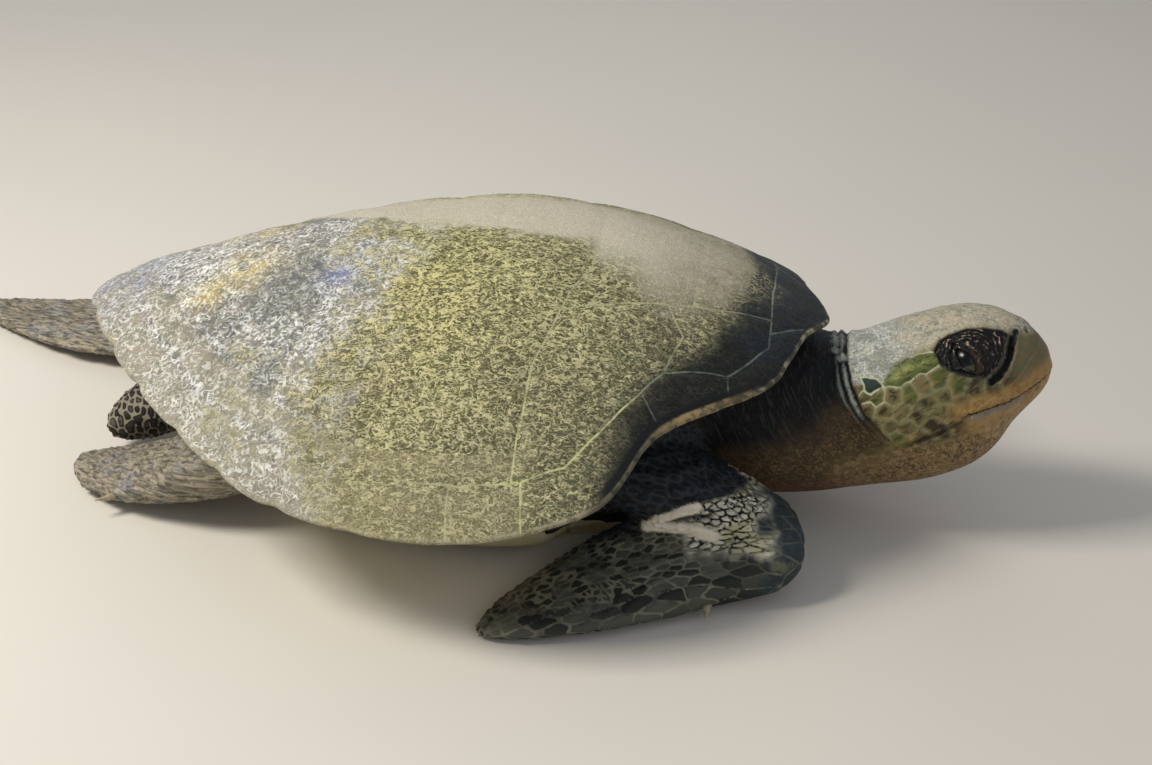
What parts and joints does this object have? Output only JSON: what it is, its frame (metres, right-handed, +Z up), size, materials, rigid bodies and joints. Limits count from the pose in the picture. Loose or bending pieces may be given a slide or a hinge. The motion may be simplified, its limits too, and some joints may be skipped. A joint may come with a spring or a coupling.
{
  "type": "olive ridley sea turtle",
  "caption": "Life-size olive ridley sea turtle lying on its belly, head raised, front flippers swept back, one hind flipper trailing; a still museum-type model.",
  "frame": {"origin": "middle of the belly shell's resting flat, on the floor", "axes": "+X from tail to head, +Y to the animal's left, +Z up"},
  "size_m": [1.0958, 0.612, 0.2508],
  "materials": {
    "carapace_horn": "dry weathered horn, olive grey with pale flecks",
    "plastron_horn": "worn cream horn",
    "scaled_skin": "dark olive-grey scaled skin, tan on the throat",
    "beak_horn": "satin yellow-brown horn",
    "claw_horn": "satin pale horn",
    "eye": "wet dark eye"
  },
  "bodies": {
    "root": {"carapace": "carapace_horn", "plastron": "plastron_horn", "trunk": "scaled_skin", "neck": "scaled_skin", "head": "scaled_skin", "beak_upper": "beak_horn", "beak_lower": "beak_horn", "eye_left": "eye", "eye_right": "eye", "arm_left": "scaled_skin", "arm_right": "scaled_skin", "flipper_front_left": "scaled_skin", "flipper_front_right": "scaled_skin", "flipper_hind_left": "scaled_skin", "flipper_hind_right": "scaled_skin", "tail": "scaled_skin", "claw_front_left": "claw_horn", "claw_front_right": "claw_horn", "claw_hind_left": "claw_horn", "claw_hind_right": "claw_horn"}
  },
  "joints": []
}
